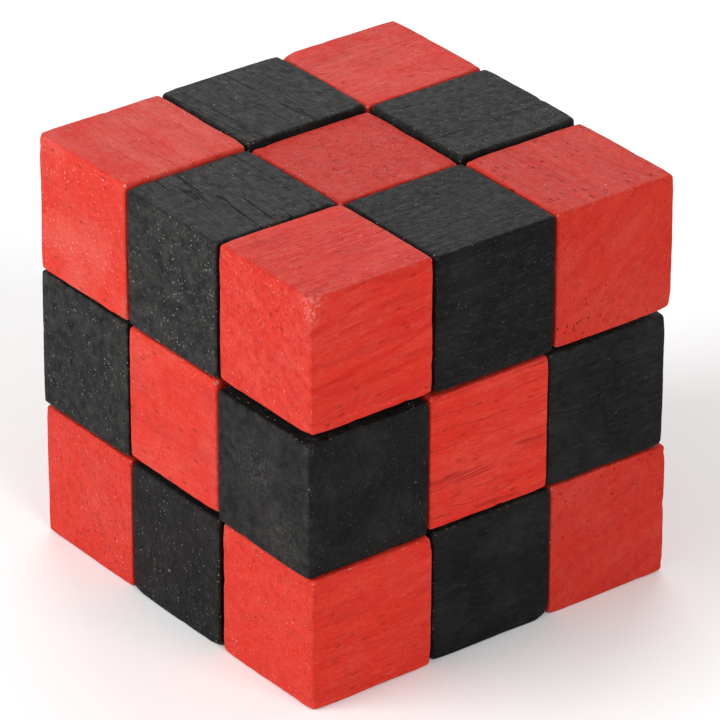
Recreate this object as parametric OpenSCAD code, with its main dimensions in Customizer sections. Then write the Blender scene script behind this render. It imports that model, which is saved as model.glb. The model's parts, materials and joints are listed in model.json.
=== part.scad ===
// Snake cube puzzle: 27 wooden cubes threaded on one elastic cord, folded up into a 3 x 3 x 3 cube.
// The origin is at the middle of the underside, +Z up. Cube 1 is the first on the cord, cube 27 the last.

/* [Cubes] */
// Distance between the middles of two neighbouring cubes
pitch = 20; // [16:0.5:30]
// How much smaller than that distance each cube is, so that the cubes can turn past each other
play = 0.3; // [0.25:0.05:0.6]
// How much lower than the others the nine cubes of the bottom layer were sanded
bottom_low = 0.2; // [0.1:0.05:0.4]
// Width of the eased edges
ease = 0.5; // [0.3:0.05:1]
// Colour of the cubes with odd numbers, which are the corners and the middles of the faces
odd_colour = "firebrick"; // [firebrick, crimson, goldenrod, peru]
// Colour of the cubes with even numbers
even_colour = "#2b2d2e"; // [#2b2d2e, saddlebrown, navy]

/* [Cord] */
// Diameter of the elastic cord
cord_d = 2.2; // [1.6:0.1:2.6]
// Diameter of the holes that the cord runs in
bore_d = 3.6; // [3:0.1:4.4]

/* [Cord ends] */
// Diameter of the glued plug that shuts the cord's end into the first and last cube
plug_d = 6; // [5:0.5:8]
// Length of that plug
plug_len = 5.5; // [4:0.5:6]
// Diameter of the knot behind the plug
knot_d = 4.4; // [3.5:0.1:4.8]

/* [Hidden] */
$fn = 48;
CUBES = 27;
LINKS = CUBES - 1;

WEST = [-1, 0, 0];
EAST = [1, 0, 0];
SOUTH = [0, -1, 0];
NORTH = [0, 1, 0];
UP = [0, 0, 1];

// The chain fills one layer after the other, in straight runs: a direction and the number of links in it
RUNS = [
    [WEST, 2], [SOUTH, 1], [EAST, 2], [SOUTH, 1], [WEST, 2], [UP, 1],
    [NORTH, 2], [EAST, 1], [SOUTH, 2], [EAST, 1], [NORTH, 2], [UP, 1],
    [WEST, 2], [SOUTH, 1], [EAST, 2], [SOUTH, 1], [WEST, 2]
];
LINK_DIRS = [for (run = RUNS) for (i = [1:run[1]]) run[0]];

// Links at which the next cube also turns about the cord
SWIVELS = [9, 18, 24];

// How far each cube sits off its place in the pile, as the elastic lets it: left or right, front or back, up.
// Rows, columns and layers that slide past each other stay apart
OFF_PLACE = [
    [0, 0, 0], [0, 0, 0], [0.1, -0.1, 0],
    [-0.1, -0.2, 0], [0, 0, 0], [0, 0, 0],
    [0.2, 0.2, 0], [0.3, 0, 0], [0, -0.5, 0],
    [-0.3, 0, -0.4], [-0.1, 0, 0.4], [-0.1, 0, 0.4],
    [-0.3, 0, 0.1], [-0.3, 0, 0.1], [-0.3, 0.2, -0.1],
    [-0.4, 0.2, -0.2], [-0.3, 0, 0], [-0.3, 0, 0],
    [-0.1, 0.2, 0.6], [0, 0.1, 0.9], [0, 0.1, 0.8],
    [-0.1, 0, 0.5], [0, 0, 0.2], [0, 0, 0.9],
    [0.2, -0.1, 0.4], [0.2, -0.1, 0.4], [0.1, -0.1, 0.6]
];

// Cubes that reach lower than the others, and by how much
DEEPER = [[12, 0.4], [21, 0.5], [22, 0.2], [26, 0.2]];

side = pitch - play;
cord_r = cord_d / 2;
bore_r = bore_d / 2;
// Space left between two pieces of cord that meet, and between the knot and what is round it
cord_gap = 0.05;
knot_depth = side - 3.5 - knot_d / 2;
end_bore_depth = knot_depth + knot_d / 2 + cord_gap;
overrun = 1;

function two_digits(n) = str(n < 10 ? "0" : "", n);
function cube_name(n) = str("cube_", two_digits(n));
function cord_name(n) = str("cord_", two_digits(n));

// Where cube n sits in the pile, counted in cubes from the first one
function steps_to(n) = n == 1 ? [0, 0, 0] : steps_to(n - 1) + LINK_DIRS[n - 2];
// The middle of cube n's place. The first cube is in the far right corner of the bottom layer
function place(n) = pitch * ([1, 1, 0.5] + steps_to(n)) - [0, 0, play / 2];

function off_place(n) = OFF_PLACE[n - 1];
function deeper(n) = let (rows = search(n, DEEPER)) len(rows) > 0 ? DEEPER[rows[0]][1] : 0;
// How far cube n's underside and top are from the middle of its place
function below(n) = side / 2 + deeper(n);
function above(n) = side / 2 - (steps_to(n).z == 0 ? bottom_low : 0);

function goes_in(n) = LINK_DIRS[n - 2];
function goes_out(n) = LINK_DIRS[n - 1];
function is_bend(n) = n > 1 && n < CUBES && goes_in(n) != goes_out(n);
function is_swivel(n) = len(search(n, SWIVELS)) > 0;

// Turns +Z to the given direction, one of the six along the axes
module along(direction) {
    turn = direction.z != 0 ? [direction.z < 0 ? 180 : 0, 0, 0]
        : direction.x != 0 ? [0, 90 * direction.x, 0] : [-90 * direction.y, 0, 0];
    rotate(turn) children();
}

module eased_block(size) {
    cut = [ease, ease, ease] * 2;
    hull() {
        cube(size - [0, cut.y, cut.z], center = true);
        cube(size - [cut.x, 0, cut.z], center = true);
        cube(size - [cut.x, cut.y, 0], center = true);
    }
}

// A hole from the middle of a cube out through the face in the given direction
module half_bore(direction) {
    along(direction) translate([0, 0, -bore_r]) cylinder(d = bore_d, h = pitch / 2 + bore_r + overrun);
}

// The wider blind hole of an end cube, which takes the knot and the plug
module end_bore(direction) {
    along(direction) translate([0, 0, side / 2 - end_bore_depth])
        cylinder(d = plug_d, h = end_bore_depth + overrun);
}

module wooden_cube(n) {
    color(n % 2 == 1 ? odd_colour : even_colour) translate(place(n)) difference() {
        translate(off_place(n) + [0, 0, (above(n) - below(n)) / 2]) eased_block([side, side, above(n) + below(n)]);
        if (n == 1) end_bore(goes_out(n));
        if (n == CUBES) end_bore(-goes_in(n));
        if (n > 1 && n < CUBES) {
            half_bore(-goes_in(n));
            half_bore(goes_out(n));
        }
    }
}

// A round bar of cord along +Z, its end rounded where the cord turns a corner in a cube
module bar(low, high, low_round, high_round) {
    if (low_round || high_round) {
        rotate_extrude() intersection() {
            translate([0, low]) square([cord_r, high - low]);
            union() {
                translate([0, low_round ? low + cord_r : low])
                    square([cord_r, high - low - (low_round ? cord_r : 0) - (high_round ? cord_r : 0)]);
                if (low_round) translate([0, low + cord_r]) circle(r = cord_r);
                if (high_round) translate([0, high - cord_r]) circle(r = cord_r);
            }
        }
    } else {
        translate([0, 0, low]) cylinder(r = cord_r, h = high - low);
    }
}

// The cord from the middle of cube n to the middle of the next one
module cord_piece(n) {
    takes_low_corner = is_bend(n) && is_swivel(n);
    low = n == 1 ? side / 2 - knot_depth + knot_d / 2 + cord_gap
        : takes_low_corner ? -cord_r
        : is_bend(n) ? cord_r + cord_gap : cord_gap;
    takes_high_corner = is_bend(n + 1) && !is_swivel(n + 1);
    high = n == LINKS ? pitch + knot_depth - side / 2 - knot_d / 4
        : takes_high_corner ? pitch + cord_r
        : is_bend(n + 1) ? pitch - cord_r - cord_gap : pitch;
    color("#3a3a3c") translate(place(n)) along(goes_out(n))
        bar(low, high, takes_low_corner, takes_high_corner);
}

module knot() {
    color("#3a3a3c") sphere(d = knot_d);
}

// The knot in the first cube. The last piece of cord has its own
module cord_knot() {
    translate(place(1)) along(goes_out(1)) translate([0, 0, side / 2 - knot_depth]) knot();
}

module last_cord_piece() {
    cord_piece(LINKS);
    translate(place(CUBES)) along(-goes_in(CUBES)) translate([0, 0, side / 2 - knot_depth]) knot();
}

module end_plug(n, mouth) {
    color("burlywood") translate(place(n)) along(mouth) translate([0, 0, side / 2 - plug_len])
        difference() {
            cylinder(d = plug_d, h = plug_len);
            translate([0, 0, -overrun]) cylinder(d = cord_d + 4 * cord_gap, h = plug_len + 2 * overrun);
        }
}

module first_plug() {
    end_plug(1, goes_out(1));
}

module last_plug() {
    end_plug(CUBES, -goes_in(CUBES));
}

for (n = [1:CUBES]) wooden_cube(n);
for (n = [1:LINKS - 1]) cord_piece(n);
last_cord_piece();
cord_knot();
first_plug();
last_plug();
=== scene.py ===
"""Looks of the snake cube puzzle: 27 worn, dyed wooden cubes threaded on a braided elastic cord.

Each CAD cube, cord piece, knot and plug is replaced by a detailed mesh that sits where the CAD piece is.
Lengths are in metres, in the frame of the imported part.
"""
import json
import math
import bmesh
import bpy
import numpy as np
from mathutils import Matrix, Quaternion, Vector


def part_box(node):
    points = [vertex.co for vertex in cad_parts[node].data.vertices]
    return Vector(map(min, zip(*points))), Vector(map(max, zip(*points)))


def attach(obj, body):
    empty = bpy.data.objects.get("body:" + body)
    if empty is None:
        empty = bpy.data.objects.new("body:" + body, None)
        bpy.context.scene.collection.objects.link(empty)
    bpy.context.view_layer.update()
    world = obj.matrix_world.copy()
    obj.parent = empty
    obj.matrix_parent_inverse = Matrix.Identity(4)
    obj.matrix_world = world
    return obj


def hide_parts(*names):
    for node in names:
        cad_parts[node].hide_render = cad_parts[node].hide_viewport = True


MM = 0.001
CUBES = 27
LINKS = CUBES - 1
AXES = np.eye(3)

# Cubes
BORE_RADIUS = 1.8 * MM
MOUTH_WIDTH = 0.3 * MM          # how much wider a hole is at its mouth
EDGE_STEPS = np.array([0, 0.1, 0.2, 0.32, 0.46, 0.62, 0.8, 1.05, 1.4]) * MM
MIDDLE_STEPS = 36               # rows of faces between the dense rows along two edges
RING_STEPS = 15                 # rings of faces from the dense rows of a drilled face to its hole
LIP = [(0.6, 0.06), (0.25, 0.22), (0, 0.6)]     # a hole's rounded mouth: how wide and how deep, in mouth widths
BORE_STEPS = 12
EDGE_RADIUS = 0.36 * MM         # of the worn edges
CORNER_WEAR = 0.30 * MM         # how much rounder the corners are
LEAST_RADIUS = 0.15 * MM
WELD = 1e-7                     # points closer than this are the same
HOLLOW = 0.07 * MM              # how deep a face dips
DENTS = 14                      # along each cube's edges
PLUG_GAP = 0.05 * MM            # between the knot and the end of its hole

# Cord
STRANDS = 6                     # of the braid, each way round
BRAID_PITCH = 3.4 * MM
BRAID_RELIEF = 0.13 * MM
BRAID_STEP = 0.12 * MM          # between the rings of points along the cord
BRAID_END = 0.35 * MM           # over which the cord closes at its ends
KNOT_TUBE = 0.62                # how thick the cord is in its knots, as a share of the free cord
KNOT_ROOM = 0.75                # where the straight cord ends before its knot, in knot widths

# Plugs
PLUG_BORE_GAP = 0.1 * MM        # between the cord and the plug's hole
PLUG_EDGE = 0.35 * MM           # how far the rims are eased
PLUG_SIDES = 72

X, Y, Z = 0, 1, 2
RED, BLACK = "red_wood", "black_wood"


# ---------------------------------------------------------------- mesh tools

class Shell:
    """Collects patches of points and welds them into one mesh."""

    def __init__(self):
        self.points, self.quads, self.count = [], [], 0

    def patch(self, grid, closed=False):
        """grid is rows x columns x 3. closed joins the last column to the first."""
        rows, columns = grid.shape[:2]
        index = self.count + np.arange(rows * columns).reshape(rows, columns)
        if closed:
            index = np.hstack([index, index[:, :1]])
        corners = (index[:-1, :-1], index[:-1, 1:], index[1:, 1:], index[1:, :-1])
        self.quads.append(np.stack(corners, -1).reshape(-1, 4))
        self.points.append(grid.reshape(-1, 3))
        self.count += rows * columns

    def welded(self):
        """The points and the faces, with points that coincide made one."""
        points = np.concatenate(self.points)
        key = np.round(points / WELD).astype(np.int64)
        _, first, same = np.unique(key, axis=0, return_index=True, return_inverse=True)
        faces = [list(dict.fromkeys(quad)) for quad in same.reshape(-1)[np.concatenate(self.quads)].tolist()]
        return points[first], [face for face in faces if len(face) > 2]


def new_piece(name, points, faces, origin, values=None):
    """A smooth mesh object at origin, with a value for each point in each named attribute."""
    mesh = bpy.data.meshes.new(name)
    mesh.from_pydata((points - origin).tolist(), [], faces)
    for attribute, numbers in (values or {}).items():
        mesh.attributes.new(attribute, "FLOAT", "POINT").data.foreach_set("value", numbers.astype(np.float32))
    shape = bmesh.new()
    shape.from_mesh(mesh)
    bmesh.ops.recalc_face_normals(shape, faces=shape.faces)
    shape.to_mesh(mesh)
    shape.free()
    mesh.polygons.foreach_set("use_smooth", [True] * len(mesh.polygons))
    piece = bpy.data.objects.new(name, mesh)
    piece.location = origin
    bpy.context.scene.collection.objects.link(piece)
    return piece


class Waves:
    """A smooth random field with values from about -1 to 1, the same for the same generator state."""

    def __init__(self, rng, length, count=9):
        directions = rng.normal(size=(count, 3))
        directions /= np.linalg.norm(directions, axis=1)[:, None]
        self.vectors = directions * (2 * math.pi / length * rng.uniform(0.6, 1.5, (count, 1)))
        self.phases = rng.uniform(0, 2 * math.pi, count)

    def __call__(self, points):
        return np.sin(points @ self.vectors.T + self.phases).sum(1) / math.sqrt(len(self.phases)) * 0.8


def smooth_step(low, high, values):
    t = np.clip((values - low) / (high - low), 0, 1)
    return t * t * (3 - 2 * t)


# ---------------------------------------------------------------- where things are

def middle(node):
    low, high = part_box(node)
    return (np.array(low) + np.array(high)) / 2


def cube_name(n):
    return f"cube_{n:02d}"


def cord_name(n):
    return f"cord_{n:02d}"


def link_direction(n):
    """The direction from cube n to the next one: an axis and a sign."""
    step = middle(cube_name(n + 1)) - middle(cube_name(n))
    axis = int(np.argmax(np.abs(step)))
    return axis, int(np.sign(step[axis]))


class Hole:
    """A hole into a cube: the face it opens in, its centre line and its radius."""

    def __init__(self, axis, sign, line, radius, depth=None):
        self.axis, self.sign, self.radius, self.depth = axis, sign, radius, depth
        self.line = line


def holes_of(n):
    """The holes in cube n. The end cubes have one blind hole, the width of their plug."""
    if n in (1, CUBES):
        plug = "first_plug" if n == 1 else "last_plug"
        knot = "cord_knot" if n == 1 else cord_name(LINKS)
        axis, sign = link_direction(1) if n == 1 else link_direction(LINKS)
        sign = sign if n == 1 else -sign
        low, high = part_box(plug)
        across = (axis + 1) % 3
        knot_low, knot_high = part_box(knot)
        deep = min(knot_low[axis] * sign, knot_high[axis] * sign) - PLUG_GAP
        return [Hole(axis, sign, middle(plug), (high[across] - low[across]) / 2, deep * sign)]
    into, out = link_direction(n - 1), link_direction(n)
    return [
        Hole(into[0], -into[1], middle(cord_name(n - 1)), BORE_RADIUS),
        Hole(out[0], out[1], middle(cord_name(n)), BORE_RADIUS),
    ]


# ---------------------------------------------------------------- a cube

def grid_lines(half):
    """Places of the rows of points across a face, dense near its edges."""
    inner = half - EDGE_STEPS[-1]
    between = np.linspace(-inner, inner, MIDDLE_STEPS + 1)
    return np.concatenate([-half + EDGE_STEPS[:-1], between, half - EDGE_STEPS[-2::-1]])


def on_face(axis, sign, half, first, second):
    """Points on a face of the box, from their places along the face's two axes."""
    points = np.empty(np.broadcast(first, second).shape + (3,))
    points[..., axis] = sign * half[axis]
    points[..., (axis + 1) % 3] = first
    points[..., (axis + 2) % 3] = second
    return points


def drilled_face(shell, hole, half, centre, end):
    """A face with a hole, and the hole's wall as far as end, a function of the wall's points."""
    a, b, c = hole.axis, (hole.axis + 1) % 3, (hole.axis + 2) % 3
    lines_b, lines_c = grid_lines(half[b])[:-1], grid_lines(half[c])[:-1]
    # Once round the face's edge, from the corner where both places are positive
    edge = np.concatenate([
        on_face(a, hole.sign, half, -lines_b, np.full_like(lines_b, half[c])),
        on_face(a, hole.sign, half, np.full_like(lines_c, -half[b]), -lines_c),
        on_face(a, hole.sign, half, lines_b, np.full_like(lines_b, -half[c])),
        on_face(a, hole.sign, half, np.full_like(lines_c, half[b]), lines_c),
    ])
    angles = math.pi / 4 + 2 * math.pi * np.arange(len(edge)) / len(edge)
    line = hole.line - centre

    def circle(radius, depth):
        return on_face(a, hole.sign, half - depth * AXES[a],
                       line[b] + radius * np.cos(angles), line[c] + radius * np.sin(angles))

    mouth = circle(hole.radius + MOUTH_WIDTH, 0)
    span = half[b] - hole.radius - MOUTH_WIDTH
    steps = np.concatenate([EDGE_STEPS / span, np.linspace(EDGE_STEPS[-1] / span, 1, RING_STEPS + 1)[1:]])
    rings = [edge + (mouth - edge) * step for step in steps]
    rings += [circle(hole.radius + MOUTH_WIDTH * wide, MOUTH_WIDTH * deep) for wide, deep in LIP]
    wall = rings[-1]
    last = end(wall)
    rings += [wall + (last - wall) * step for step in np.linspace(0, 1, BORE_STEPS + 1)[1:]]
    if hole.depth is not None:
        tip = last.mean(0)
        rings += [last + (tip - last) * step for step in (0.4, 0.8, 1)]
    shell.patch(np.array(rings), closed=True)


def bore_end(hole, other, centre):
    """Where the wall of a hole stops: at its blind end, half-way through, or at a mitre with the other hole."""
    def end(wall):
        stop = wall.copy()
        if hole.depth is not None:
            stop[:, hole.axis] = hole.depth - centre[hole.axis]
        elif other.axis == hole.axis:
            stop[:, hole.axis] = 0
        else:
            corner = hole.line - centre
            corner[hole.axis] = (other.line - centre)[hole.axis]
            aside = (wall[:, other.axis] - corner[other.axis]) * other.sign
            stop[:, hole.axis] = corner[hole.axis] + aside * hole.sign
        return stop
    return end


def worn(points, half, rng, ease, corner_wear):
    """Eases the edges of a box, dips its faces and dents its edges. corner_wear lists corners, as signs, with the
    extra radius they have. Also gives how close each point is to an edge and to a corner, from 0 to 1."""
    uneven, patchy, dips = Waves(rng, 9 * MM), Waves(rng, 3 * MM), [Waves(rng, 26 * MM) for _ in AXES]
    radius = EDGE_RADIUS * ease * rng.uniform(0.85, 1.15)
    radius = radius * (1 + 0.25 * uneven(points) + 0.12 * patchy(points))
    near = np.clip(1 - (half - np.abs(points)) / (2.2 * MM), 0, 1)
    radius = radius + CORNER_WEAR * ease * np.prod(near, axis=1)
    for corner, extra in corner_wear:
        at_corner = np.prod(near * (np.sign(points) == corner), axis=1)
        radius = radius + extra * at_corner
    radius = np.maximum(radius, LEAST_RADIUS)
    inner = half - radius[:, None]
    excess = np.maximum(np.abs(points) - inner, 0)
    length = np.linalg.norm(excess, axis=1)
    scale = np.where(length > 0, excess.max(1) / np.maximum(length, 1e-12), 1)
    result = np.sign(points) * (np.minimum(np.abs(points), inner) + excess * scale[:, None])
    ranked = np.sort(excess, axis=1) / radius[:, None]
    for axis in range(3):
        close = smooth_step(half[axis] - 2.5 * MM, half[axis], np.abs(points[:, axis]))
        dip = HOLLOW * (0.5 + 0.5 * np.clip(dips[axis](points), -1, 1))
        result[:, axis] -= np.sign(points[:, axis]) * dip * close
    for _ in range(DENTS):
        along = rng.integers(3)
        place = np.where(np.arange(3) == along, rng.uniform(-1, 1), rng.choice([-1, 1], 3)) * half
        size, depth = rng.uniform(0.35, 0.9) * MM, rng.uniform(0.04, 0.16) * MM
        inward = -np.sign(place) * (np.arange(3) != along) / math.sqrt(2)
        fall = np.exp(-((points - place) ** 2).sum(1) / size ** 2)
        result += fall[:, None] * depth * inward
    return result, ranked[:, 1], ranked[:, 0]


def wear_and_sheen_places(points, half, scuffs):
    """How much dust and painted sheen the cube has at each point, how scuffed it is, and where its top is. scuffs
    lists places, as shares of the half size, with their radius in millimetres."""
    # Some dust on every face, and a painted sheen: much more pale film and specks on the faces at -X and on the top
    dust_and_sheen_mask = np.maximum(0.22, smooth_step(-half[X] + 0.4 * MM, -half[X], points[:, X]))
    dust_and_sheen_mask = np.maximum(dust_and_sheen_mask, 0.8 * smooth_step(half[Z] - 0.4 * MM, half[Z], points[:, Z]))
    upper = smooth_step(half[Z] - 1.2 * MM, half[Z] - 0.2 * MM, points[:, Z])
    scuff = np.zeros(len(points))
    for place, size in scuffs:
        scuff = np.maximum(scuff, np.exp(-((points - half * place) ** 2).sum(1) / (size * MM) ** 2))
    return {"dust_and_sheen_mask": dust_and_sheen_mask, "scuff": scuff, "upper": upper}


def wooden_cube(n, look):
    """Cube n's mesh: worn outside, drilled through or to a blind end."""
    low, high = (np.array(corner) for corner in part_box(cube_name(n)))
    centre, half = (low + high) / 2, (high - low) / 2
    holes = holes_of(n)
    shell = Shell()
    for axis in range(3):
        for sign in (-1, 1):
            if any((hole.axis, hole.sign) == (axis, sign) for hole in holes):
                continue
            first, second = grid_lines(half[(axis + 1) % 3]), grid_lines(half[(axis + 2) % 3])
            shell.patch(on_face(axis, sign, half, first[:, None], second[None, :]))
    for hole in holes:
        other = holes[0] if hole is holes[-1] else holes[-1]
        drilled_face(shell, hole, half, centre, bore_end(hole, other, centre))
    points, faces = shell.welded()
    rng = np.random.default_rng(100 + n)
    shaped, edge, corner = worn(points, half, rng, look.get("ease", 1.0), look.get("corners", []))
    values = {"edge": edge, "corner": corner, **wear_and_sheen_places(points, half, look.get("scuffs", []))}
    piece = new_piece(cube_name(n) + "_wood", shaped + centre, faces, centre, values)
    piece.data.materials.append(dyed_wood(n, look))
    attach(piece, cube_name(n))
    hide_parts(cube_name(n))


# ---------------------------------------------------------------- materials

class Graph:
    """A new material's node tree, with short calls for the nodes that the materials use."""

    def __init__(self, name):
        self.material = bpy.data.materials.new(name)
        self.material.use_nodes = True
        self.tree = self.material.node_tree
        self.tree.nodes.clear()

    def node(self, kind, inputs, **settings):
        made = self.tree.nodes.new("ShaderNode" + kind)
        for key, value in settings.items():
            setattr(made, key, value)
        for key, value in inputs.items():
            if isinstance(value, bpy.types.NodeSocket):
                self.tree.links.new(value, made.inputs[key])
            else:
                made.inputs[key].default_value = value
        return made

    def math(self, operation, *values, clamp=False):
        return self.node("Math", dict(enumerate(values)), operation=operation, use_clamp=clamp).outputs[0]

    def scaled(self, vector, scale, rotation=(0, 0, 0), location=(0, 0, 0)):
        inputs = {"Vector": vector, "Scale": scale, "Rotation": rotation, "Location": location}
        return self.node("Mapping", inputs).outputs[0]

    def noise(self, vector, scale, detail=2.0, roughness=0.5, distortion=0.0):
        inputs = {"Vector": vector, "Scale": scale, "Detail": detail, "Roughness": roughness,
                  "Distortion": distortion}
        return self.node("TexNoise", inputs).outputs[0]

    def noise_line(self, place, scale, detail=2.0):
        inputs = {"W": place, "Scale": scale, "Detail": detail}
        return self.node("TexNoise", inputs, noise_dimensions="1D").outputs[0]

    def cells(self, vector, scale=1.0):
        """Distance to the nearest of scattered points, and a random colour for each of them."""
        made = self.node("TexVoronoi", {"Vector": vector, "Scale": scale})
        return made.outputs["Distance"], made.outputs["Color"]

    def ramp(self, value, low, high, to_low=0.0, to_high=1.0):
        """Runs smoothly from to_low at low to to_high at high."""
        inputs = {"Value": value, "From Min": low, "From Max": high, "To Min": to_low, "To Max": to_high}
        return self.node("MapRange", inputs, interpolation_type="SMOOTHSTEP").outputs[0]

    def mix(self, share, first, second, blend="MIX"):
        made = self.node("Mix", {}, data_type="RGBA", blend_type=blend)
        for socket, value in ((made.inputs[0], share), (made.inputs[6], first), (made.inputs[7], second)):
            if isinstance(value, bpy.types.NodeSocket):
                self.tree.links.new(value, socket)
            else:
                socket.default_value = value if isinstance(value, float) else (*value, 1)
        return made.outputs[2]

    def channel(self, colour, which):
        return self.node("SeparateColor", {"Color": colour}).outputs[which]

    def attribute(self, name):
        return self.node("Attribute", {}, attribute_name=name).outputs["Fac"]

    def finish(self, colour, roughness, height=None, height_scale=0.1 * MM, **shader):
        inputs = {"Base Color": colour, "Roughness": roughness, **shader}
        if height is not None:
            bump = self.node("Bump", {"Height": height, "Distance": height_scale, "Strength": 1.0})
            inputs["Normal"] = bump.outputs[0]
        principled = self.node("BsdfPrincipled", inputs)
        self.node("OutputMaterial", {"Surface": principled.outputs[0]})
        return self.material


# The dust colour also paints the sheen on the faces at -X and on the top.
DYES = {
    RED: {"base": (0.575, 0.026, 0.0115), "deep": (0.480, 0.0100, 0.0050), "line": (0.270, 0.0080, 0.0060),
          "light": (0.575, 0.078, 0.0560), "pore": (0.200, 0.0070, 0.0060), "worn": (0.700, 0.2700, 0.2200),
          "dust_and_sheen": (0.800, 0.500, 0.4500)},
    BLACK: {"base": (0.0034, 0.0035, 0.0033), "deep": (0.0014, 0.0015, 0.0015), "line": (0.0008, 0.0008, 0.0009),
            "light": (0.0270, 0.0266, 0.0248), "pore": (0.0006, 0.0006, 0.0006), "worn": (0.060, 0.059, 0.056),
            "dust_and_sheen": (0.270, 0.262, 0.250)},
}
GLOSS = {RED: 0.09, BLACK: 0.07}
FILM = {RED: 0.03, BLACK: 0.075}
SPECKS = {RED: 0.55, BLACK: 0.95}
SPARSE = {RED: 0.62, BLACK: 0.48}


def wood_spaces(g, look, rng):
    """Coordinates in millimetres with the grain along X: square to the cube, tilted and shifted, and only shifted.
    Also gives the tilt."""
    place = g.node("TexCoord", {}).outputs["Object"]
    turn = {X: (0, 0, 0), Y: (0, 0, -math.pi / 2), Z: (0, math.pi / 2, 0)}[look.get("grain", X)]
    upright = g.scaled(place, (1000, 1000, 1000), rotation=turn)
    tilt = tuple(math.radians(angle) for angle in look.get("tilt", rng.uniform(-3, 3, 3)))
    shift = tuple(rng.uniform(-200, 200, 3))
    wood = g.scaled(upright, (1, 1, 1), rotation=tilt, location=shift)
    plain = g.scaled(upright, (1, 1, 1), location=shift)
    return upright, wood, plain, tilt


def growth_rings(g, look, rng, upright, wood, tilt):
    """Broad bands and thin broken lines, which are shells round a pith that lies outside the cube."""
    pith, around = rng.uniform(25, 60), rng.uniform(0, 2 * math.pi)
    centre = (0, pith * math.cos(around), pith * math.sin(around))
    wander = g.noise(g.scaled(wood, (0.06, 0.18, 0.18)), 1.0, 3.0)
    from_pith = g.node("VectorMath", {0: g.scaled(upright, (0.02, 1, 1), rotation=tilt, location=centre)},
                       operation="LENGTH").outputs["Value"]
    shells = g.math("ADD", from_pith, g.math("MULTIPLY", wander, 3.0))
    growth = g.noise_line(shells, look.get("rings", 0.40), 2.0)
    fade = g.ramp(g.noise(g.scaled(wood, (0.15, 0.5, 0.5)), 1.0, 3.0), 0.38, 0.62)
    bands = g.ramp(growth, 0.42, 0.66)
    lines = g.ramp(g.math("ABSOLUTE", g.math("SUBTRACT", growth, 0.5)), 0.050, 0.010)
    lines = g.math("MULTIPLY", lines, fade)
    return bands, lines


def pore_marks(g, wood):
    """Short tubes along the grain."""
    depth, kind = g.cells(g.scaled(wood, (0.36, 1.45, 0.95)))
    some = g.ramp(g.channel(kind, 0), 0.25, 0.60)
    pores = g.math("MULTIPLY", g.ramp(depth, 0.24, 0.10), some)
    return pores


def crack_marks(g, look, wood, fibres):
    """Thin broken lines that follow the grain, strongest at the top of the cube."""
    level = g.noise(g.scaled(wood, (0.014, 0.30, 0.30)), 1.0, 2.0, 0.4)
    rough_level = g.math("ADD", level, g.math("MULTIPLY", fibres, 0.012))
    thin = g.ramp(g.math("ABSOLUTE", g.math("SUBTRACT", rough_level, 0.506)), 0.024, 0.010)
    broken = g.ramp(g.noise(g.scaled(wood, (0.07, 0.22, 0.22), location=(3, 50, 9)), 1.0, 2.0), 0.44, 0.53)
    deep = g.ramp(g.attribute("upper"), 0.0, 1.0, 0.15, 1.0)
    cracks = g.math("MULTIPLY", g.math("MULTIPLY", thin, broken), look.get("cracks", 0.12))
    cracks = g.math("MULTIPLY", cracks, deep)
    return cracks


def dust_and_sheen_on(g, slot, look, plain, cracks):
    """A thin film that gathers in patches, and specks of three sizes, thick on the scuffed places. Both are made
    much paler on the faces at -X and on the top, which is painted sheen.
    """
    dust_and_sheen_mask, scuff = g.attribute("dust_and_sheen_mask"), g.attribute("scuff")
    film = g.ramp(g.noise(plain, 0.7, 6.0, 0.72), 0.30, 0.78, 0.0, look.get("film", FILM[slot]))
    gathers = g.ramp(g.noise(plain, 0.30, 5.0, 0.70), 0.40, 0.62, 0.22, 1.0)
    gathers = g.math("MAXIMUM", gathers, g.ramp(scuff, 0.0, 0.8, 0.0, 1.4))
    specks = None
    for scale, reach, soft in ((0.60, 0.13, 0.06), (1.4, 0.24, 0.10), (3.1, 0.46, 0.22)):
        speck_depth, speck_kind = g.cells(plain, scale)
        size = g.math("SUBTRACT", g.ramp(g.channel(speck_kind, 1), SPARSE[slot], 1.0, 0.0, reach), speck_depth)
        bright = g.math("POWER", g.ramp(g.channel(speck_kind, 2), 0.0, 1.0, 0.30, 1.0), 3.0)
        speck = g.math("MULTIPLY", g.ramp(size, 0.0, soft), bright)
        specks = speck if specks is None else g.math("MAXIMUM", specks, speck)
    specks = g.math("MULTIPLY", specks, gathers)
    dust_and_sheen = g.math("ADD", film, g.math("MULTIPLY", specks, look.get("specks", SPECKS[slot])))
    # Painted sheen: the mask makes the film and specks much paler on the faces at -X and on the top
    dust_and_sheen = g.math("MULTIPLY", dust_and_sheen, dust_and_sheen_mask, clamp=True)
    dust_and_sheen = g.math("MULTIPLY", dust_and_sheen, g.math("SUBTRACT", 1.0, g.math("MULTIPLY", cracks, 0.9)))
    return dust_and_sheen, specks


def rubbed_places(g, look, plain):
    """Pale patches along the edges, at the corners and on the scuffed places."""
    edge, corner, scuff = g.attribute("edge"), g.attribute("corner"), g.attribute("scuff")
    patches = g.noise(plain, 1.1, 5.0, 0.7)
    rubbed = g.math("MULTIPLY", g.ramp(edge, 0.45, 1.0), g.ramp(patches, 0.54, 0.76))
    rubbed = g.math("MAXIMUM", rubbed, g.math("MULTIPLY", g.ramp(corner, 0.05, 0.7), g.ramp(patches, 0.40, 0.60)))
    torn = g.noise(plain, 2.2, 5.0, 0.75)
    scuffed = g.math("MULTIPLY", g.ramp(scuff, 0.0, 0.9), g.ramp(torn, 0.46, 0.66))
    scuffed = g.math("MULTIPLY", scuffed, look.get("scuffing", 0.5))
    rubbed = g.math("MAXIMUM", g.math("MULTIPLY", rubbed, 0.5), scuffed)
    return rubbed


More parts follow.
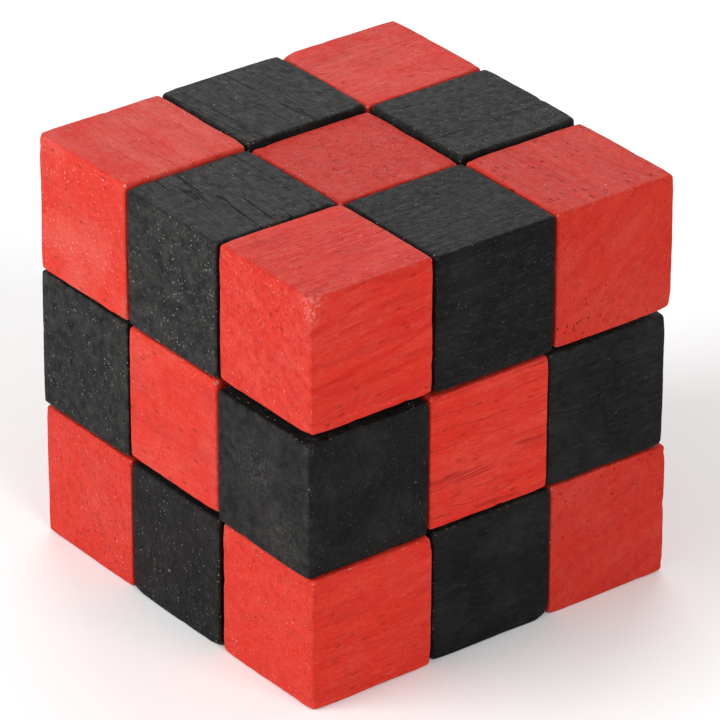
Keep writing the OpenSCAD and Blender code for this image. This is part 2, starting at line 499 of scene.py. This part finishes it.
def dyed_wood(n, look):
    """Dyed close-grained wood, solid through the cube, with dust and wear on it, and a painted sheen on the faces
    at -X and on the top.
    """
    slot = RED if n % 2 else BLACK
    dye = DYES[slot]
    rng = np.random.default_rng(500 + n)
    g = Graph(f"{slot}_{n:02d}")
    upright, wood, plain, tilt = wood_spaces(g, look, rng)
    bands, lines = growth_rings(g, look, rng, upright, wood, tilt)
    streaks = g.ramp(g.noise(g.scaled(wood, (0.09, 0.75, 0.75)), 1.0, 3.0, 0.55), 0.45, 0.68)
    light = g.ramp(g.noise(g.scaled(wood, (0.55, 2.1, 2.1), location=(31, 7, 5)), 1.0, 4.0, 0.68), 0.47, 0.72)
    fibres = g.noise(g.scaled(wood, (1.3, 4.6, 4.6)), 1.0, 3.0, 0.65)
    haze = g.ramp(g.noise(plain, 0.13, 3.0, 0.55), 0.36, 0.66)
    pores = pore_marks(g, wood)
    cracks = crack_marks(g, look, wood, fibres)
    dust_and_sheen, specks = dust_and_sheen_on(g, slot, look, plain, cracks)
    rubbed = rubbed_places(g, look, plain)

    colour = g.mix(g.math("MULTIPLY", haze, look.get("haze", 0.35)), dye["base"], dye["light"])
    colour = g.mix(g.math("MULTIPLY", bands, 0.30), colour, dye["deep"])
    colour = g.mix(g.math("MULTIPLY", light, look.get("light", 0.40)), colour, dye["light"])
    colour = g.mix(g.math("MULTIPLY", streaks, look.get("streaks", 0.35)), colour, dye["deep"])
    colour = g.mix(g.math("MULTIPLY", lines, look.get("lines", 0.25)), colour, dye["line"])
    colour = g.mix(g.ramp(fibres, 0.42, 0.68, 0.0, 0.6), colour, dye["deep"])
    colour = g.mix(g.math("MULTIPLY", pores, look.get("pores", 0.4)), colour, dye["pore"])
    colour = g.mix(cracks, colour, dye["pore"])
    shade = look.get("shade", 1.0)
    colour = g.mix(1.0, colour, (shade, shade, shade), "MULTIPLY")
    colour = g.mix(rubbed, colour, dye["worn"])
    # Dust, and painted sheen on the faces at -X and on the top, mixed in the dust colour
    colour = g.mix(dust_and_sheen, colour, dye["dust_and_sheen"])

    height = g.math("MULTIPLY", fibres, 0.9)
    height = g.math("SUBTRACT", height, g.math("MULTIPLY", pores, 1.4))
    height = g.math("SUBTRACT", height, g.math("MULTIPLY", streaks, 0.3))
    height = g.math("SUBTRACT", height, g.math("MULTIPLY", lines, 0.3))
    height = g.math("SUBTRACT", height, g.math("MULTIPLY", cracks, 4.0))
    height = g.math("ADD", height, g.math("MULTIPLY", g.noise(plain, 3.2, 4.0, 0.65), 0.6))
    height = g.math("ADD", height, g.math("MULTIPLY", specks, 0.5))
    roughness = g.ramp(g.noise(plain, 0.9, 4.0, 0.65), 0.2, 0.8, 0.42, 0.68)
    return g.finish(colour, roughness, height, 0.10 * MM, **{"Specular IOR Level": GLOSS[slot]})


def braided_sheath():
    g = Graph("braided_sheath")
    place = g.scaled(g.node("TexCoord", {}).outputs["Object"], (1000, 1000, 1000))
    relief = g.attribute("relief")
    threads = g.noise(place, 9.0, 3.0, 0.6)
    wear = g.noise(place, 1.3, 3.0, 0.6)
    # Painted shade: the hollows between the strands are coloured darker than the strands' crowns
    colour = g.mix(g.ramp(relief, 0.1, 0.9), (0.006, 0.006, 0.007), (0.045, 0.045, 0.050))
    colour = g.mix(g.ramp(threads, 0.45, 0.75, 0.0, 0.5), colour, (0.10, 0.10, 0.105))
    colour = g.mix(g.ramp(wear, 0.5, 0.8, 0.0, 0.25), colour, (0.14, 0.14, 0.14))
    roughness = g.ramp(threads, 0.2, 0.8, 0.55, 0.85)
    return g.finish(colour, roughness, threads, 0.05 * MM, **{"Sheen Weight": 0.3})


def plain_beech():
    g = Graph("plain_beech")
    place = g.scaled(g.node("TexCoord", {}).outputs["Object"], (1000, 1000, 1000))
    flecks = g.noise(g.scaled(place, (0.4, 3.5, 3.5)), 1.0, 3.0, 0.6)
    depth, kind = g.cells(g.scaled(place, (0.35, 3.2, 3.2)))
    pores = g.math("MULTIPLY", g.ramp(depth, 0.3, 0.15), g.ramp(g.channel(kind, 0), 0.4, 0.6))
    colour = g.mix(g.ramp(flecks, 0.3, 0.7), (0.60, 0.40, 0.22), (0.42, 0.25, 0.12))
    colour = g.mix(g.math("MULTIPLY", pores, 0.6), colour, (0.20, 0.10, 0.05))
    roughness = g.ramp(flecks, 0.2, 0.8, 0.5, 0.7)
    return g.finish(colour, roughness, g.math("SUBTRACT", flecks, pores), 0.04 * MM)


# ---------------------------------------------------------------- cord, knots and plugs

def frames_along(path):
    """The two directions across a path at each of its points, turned as little as possible from one to the next."""
    ahead = np.gradient(path, axis=0)
    ahead /= np.linalg.norm(ahead, axis=1)[:, None]
    side = AXES[int(np.argmin(np.abs(ahead[0])))]
    sides = []
    for direction in ahead:
        side = side - direction * (side @ direction)
        side = side / np.linalg.norm(side)
        sides.append(side)
    sides = np.array(sides)
    return sides, np.cross(ahead, sides)


def braid(path, radius, rounds=60):
    """A braided tube along a path of even steps: its rings, and how high the braid stands at each point."""
    step = np.linalg.norm(path[1] - path[0])
    along = np.arange(len(path)) * step
    angles = 2 * math.pi * np.arange(rounds) / rounds
    turn = STRANDS * angles[None, :]
    climb = STRANDS * 2 * math.pi * along[:, None] / BRAID_PITCH / 2
    one, two = turn + climb, turn - climb
    over = np.cos(one / 2) * np.cos(two / 2)
    relief = np.maximum(0.6 * np.cos(one) + 0.4 * over, 0.6 * np.cos(two) - 0.4 * over)
    relief = np.clip((relief + 0.4) / 1.4, 0, 1)
    from_end = np.minimum(along, along[-1] - along)[:, None]
    taper = np.sqrt(np.clip(1 - (1 - np.minimum(from_end / BRAID_END, 1)) ** 2, 0.02, 1))
    reach = (radius - BRAID_RELIEF * (1 - relief)) * taper
    side, other = frames_along(path)
    rings = (path[:, None, :] + reach[..., None] * (np.cos(angles)[None, :, None] * side[:, None, :]
                                                   + np.sin(angles)[None, :, None] * other[:, None, :]))
    caps = [np.repeat(path[i][None, None, :], rounds, axis=1) for i in (0, -1)]
    rings = np.concatenate([caps[0], rings, caps[1]])
    relief = np.vstack([relief[:1] * 0, relief, relief[:1] * 0])
    return rings, relief


def knot_path(centre, size, axis, tube):
    """A tight overhand knot that fits in a ball of that diameter."""
    t = np.linspace(0, 2 * math.pi, 240)
    curve = np.stack([np.sin(t) + 2 * np.sin(2 * t), np.cos(t) - 2 * np.cos(2 * t), -1.5 * np.sin(3 * t)], 1)
    curve *= (size / 2 - tube) / np.linalg.norm(curve, axis=1).max()
    return centre + np.roll(curve, axis - 2, axis=1)


def tie_knot(shell, centre, size, axis):
    """Adds a knot to the shell and gives its relief."""
    tube = cord_radius * KNOT_TUBE
    rings, relief = braid(knot_path(centre, size, axis, tube), tube, rounds=30)
    shell.patch(rings, closed=True)
    return relief.reshape(-1)


def make_cords():
    sheath = braided_sheath()
    bodies = {node: body for body, nodes in frame["record"]["behaviour"]["bodies"].items() for node in nodes}
    for n in range(1, LINKS + 1):
        node = cord_name(n)
        low, high = (np.array(corner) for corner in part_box(node))
        axis, sign = link_direction(n)
        centre = (low + high) / 2
        start, stop = centre.copy(), centre.copy()
        start[axis], stop[axis] = low[axis], high[axis]
        if n == LINKS:
            # The knot is at the far end
            knot_size = high[(axis + 1) % 3] - low[(axis + 1) % 3]
            if sign > 0:
                stop[axis] -= knot_size * KNOT_ROOM
            else:
                start[axis] += knot_size * KNOT_ROOM
        count = int(np.linalg.norm(stop - start) / BRAID_STEP) + 1
        path = start + (stop - start) * np.linspace(0, 1, count)[:, None]
        shell = Shell()
        rings, relief = braid(path, cord_radius)
        shell.patch(rings, closed=True)
        heights = [relief.reshape(-1)]
        if n == LINKS:
            ball = centre.copy()
            ball[axis] = high[axis] - knot_size / 2 if sign > 0 else low[axis] + knot_size / 2
            heights.append(tie_knot(shell, ball, knot_size, axis))
        add_shell(node, "_braid", shell, heights, centre, sheath, bodies[node])
    low, high = (np.array(corner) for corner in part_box("cord_knot"))
    centre = (low + high) / 2
    shell = Shell()
    heights = [tie_knot(shell, centre, high[Z] - low[Z], link_direction(1)[0])]
    add_shell("cord_knot", "_braid", shell, heights, centre, sheath, bodies["cord_knot"])


def add_shell(node, suffix, shell, heights, centre, material, body):
    points = np.concatenate(shell.points)
    faces = np.concatenate(shell.quads).tolist()
    piece = new_piece(node + suffix, points, faces, centre, {"relief": np.concatenate(heights)})
    piece.data.materials.append(material)
    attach(piece, body)
    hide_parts(node)


def make_plugs():
    beech = plain_beech()
    for node, cube, link in (("first_plug", 1, 1), ("last_plug", CUBES, LINKS)):
        low, high = (np.array(corner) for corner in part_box(node))
        axis, _ = link_direction(link)
        centre, half = (low + high) / 2, (high - low) / 2
        outer, length = half[(axis + 1) % 3], 2 * half[axis]
        inner, ease = cord_radius + PLUG_BORE_GAP, PLUG_EDGE
        profile = [(inner, ease), (inner + ease * 0.3, ease * 0.3), (inner + ease, 0), (outer - ease, 0),
                   (outer - ease * 0.3, ease * 0.3), (outer, ease)]
        profile += [(radius, length - along) for radius, along in reversed(profile)]
        profile.append(profile[0])
        angles = 2 * math.pi * np.arange(PLUG_SIDES) / PLUG_SIDES
        rings = np.empty((len(profile), len(angles), 3))
        for ring, (radius, along) in zip(rings, profile):
            ring[:, axis] = along - length / 2
            ring[:, (axis + 1) % 3] = radius * np.cos(angles)
            ring[:, (axis + 2) % 3] = radius * np.sin(angles)
        shell = Shell()
        shell.patch(rings + centre, closed=True)
        points, faces = shell.welded()
        piece = new_piece(node + "_beech", points, faces, centre)
        piece.data.materials.append(beech)
        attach(piece, cube_name(cube))
        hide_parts(node)


# ---------------------------------------------------------------- studio

def make_camera():
    """A long lens from the front left and above, aimed a little aside."""
    azimuth, elevation, roll = math.radians(-37.5), math.radians(28.2), math.radians(0.16)
    back = Vector((math.sin(azimuth) * math.cos(elevation), -math.cos(azimuth) * math.cos(elevation),
                   math.sin(elevation)))
    data = bpy.data.cameras.new("camera")
    data.lens, data.sensor_width = 305.6, 36
    data.clip_start, data.clip_end = 0.05, 20
    camera = bpy.data.objects.new("camera", data)
    turn = (-back).to_track_quat("-Z", "Y") @ Quaternion((0, 0, 1), roll)
    aim = Vector((0, 0, 0.030)) + turn @ Vector((0.84 * MM, -0.50 * MM, 0))
    camera.rotation_mode = "QUATERNION"
    camera.rotation_quaternion = turn
    camera.location = aim + back * 0.819
    bpy.context.scene.collection.objects.link(camera)
    bpy.context.scene.camera = camera


def make_floor():
    mesh = bpy.data.meshes.new("floor")
    reach = 3.0
    mesh.from_pydata([(-reach, -reach, 0), (reach, -reach, 0), (reach, reach, 0), (-reach, reach, 0)], [],
                     [(0, 1, 2, 3)])
    floor = bpy.data.objects.new("floor", mesh)
    g = Graph("pale_floor")
    place = g.node("TexCoord", {}).outputs["Object"]
    tone = g.noise(place, 4.0, 2.0)
    colour = g.mix(tone, (0.89, 0.89, 0.89), (0.91, 0.91, 0.91))
    mesh.materials.append(g.finish(colour, 0.8, **{"Specular IOR Level": 0.1}))
    bpy.context.scene.collection.objects.link(floor)


def area_light(name, azimuth, elevation, distance, size, power):
    a, e = math.radians(azimuth), math.radians(elevation)
    back = Vector((math.sin(a) * math.cos(e), -math.cos(a) * math.cos(e), math.sin(e)))
    data = bpy.data.lights.new(name, "AREA")
    data.size, data.energy = size, power
    lamp = bpy.data.objects.new(name, data)
    lamp.location = Vector((0, 0, 0.03)) + back * distance
    lamp.rotation_mode = "QUATERNION"
    lamp.rotation_quaternion = (-back).to_track_quat("-Z", "Y")
    bpy.context.scene.collection.objects.link(lamp)


def make_light():
    world = bpy.data.worlds.new("studio")
    world.use_nodes = True
    background = world.node_tree.nodes["Background"]
    background.inputs["Color"].default_value = (1, 1, 1, 1)
    background.inputs["Strength"].default_value = 0.50
    bpy.context.scene.world = world
    area_light("key", -108, 26, 1.4, 0.9, 18)
    area_light("fill", 0, 28, 1.6, 1.0, 14)
    area_light("back", 140, 26, 1.5, 1.0, 8.5)
    bpy.context.scene.view_settings.view_transform = "Standard"


# ---------------------------------------------------------------- the looks of each cube

# What sets a cube apart. A cube with no line here has the usual values, which are in wooden_cube and dyed_wood.
LOOKS = {n: {} for n in range(1, CUBES + 1)}
LOOKS[3].update(ease=0.6, shade=0.97)
LOOKS[4].update(film=0.03, corners=[((-1, -1, -1), 0.6 * MM), ((-1, 1, -1), 0.6 * MM)])
LOOKS[7].update(grain=Y, pores=1.0, shade=0.85)
LOOKS[8].update(corners=[((1, -1, -1), 1.1 * MM)])
LOOKS[9].update(grain=X, streaks=0.3, haze=0.2, pores=0.2, corners=[((1, -1, 1), 0.5 * MM)])
LOOKS[10].update(grain=Y, pores=1.0, specks=1.3, scuffing=0.6,
                 scuffs=[((-1, -1, 0.95), 1.3), ((-1, -1, 0.3), 1.2), ((-1, -1, -0.1), 1.2), ((-1, 0.15, 0.2), 4.5),
                         ((-1, -0.4, -0.6), 4.0)])
LOOKS[11].update(grain=Y, tilt=(0, -4, 0), streaks=0.4, haze=0.5)
LOOKS[12].update(ease=0.55, film=0.11, scuffing=0.15, scuffs=[((-1, -1, 0.9), 1.6), ((-1, -1, 0.1), 3.0)])
LOOKS[15].update(grain=X, tilt=(0, -1, 0), lines=0.8, rings=0.5, pores=0.25)
LOOKS[16].update(grain=X, light=0.55)
LOOKS[19].update(haze=0.6, corners=[((-1, 1, 1), 0.9 * MM)])
LOOKS[20].update(grain=Y, film=0.11, cracks=0.6, light=0.5)
LOOKS[21].update(grain=Y, haze=0.8, streaks=0.15, lines=0.15)
LOOKS[22].update(grain=Y, film=0.12, cracks=1.0, light=0.5)
LOOKS[23].update(grain=Z, pores=0.8, shade=0.86, haze=0.2)
LOOKS[24].update(light=0.5)
LOOKS[25].update(grain=Y, pores=1.0, shade=0.88, corners=[((1, -1, -1), 0.3 * MM)])
LOOKS[26].update(grain=X, film=0.04, light=0.5)
LOOKS[27].update(grain=X, tilt=(0, 8, 0), streaks=0.75, lines=0.3, pores=0.3, scuffing=0.65,
                 scuffs=[((-1, -1, 1), 2.2), ((-1, -1, 0.8), 1.6)])


# ---------------------------------------------------------------- scene

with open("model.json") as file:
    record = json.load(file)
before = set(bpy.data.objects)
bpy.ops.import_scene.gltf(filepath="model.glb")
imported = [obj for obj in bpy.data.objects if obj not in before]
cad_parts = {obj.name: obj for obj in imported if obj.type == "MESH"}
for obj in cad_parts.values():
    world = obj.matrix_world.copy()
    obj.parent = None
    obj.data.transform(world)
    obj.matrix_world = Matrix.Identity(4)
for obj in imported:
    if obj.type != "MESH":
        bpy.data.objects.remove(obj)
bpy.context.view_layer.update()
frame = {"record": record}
cord_radius = (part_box(cord_name(1))[1][2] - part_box(cord_name(1))[0][2]) / 2
make_camera()
make_floor()
make_light()
for number in range(1, CUBES + 1):
    wooden_cube(number, LOOKS[number])
make_cords()
make_plugs()
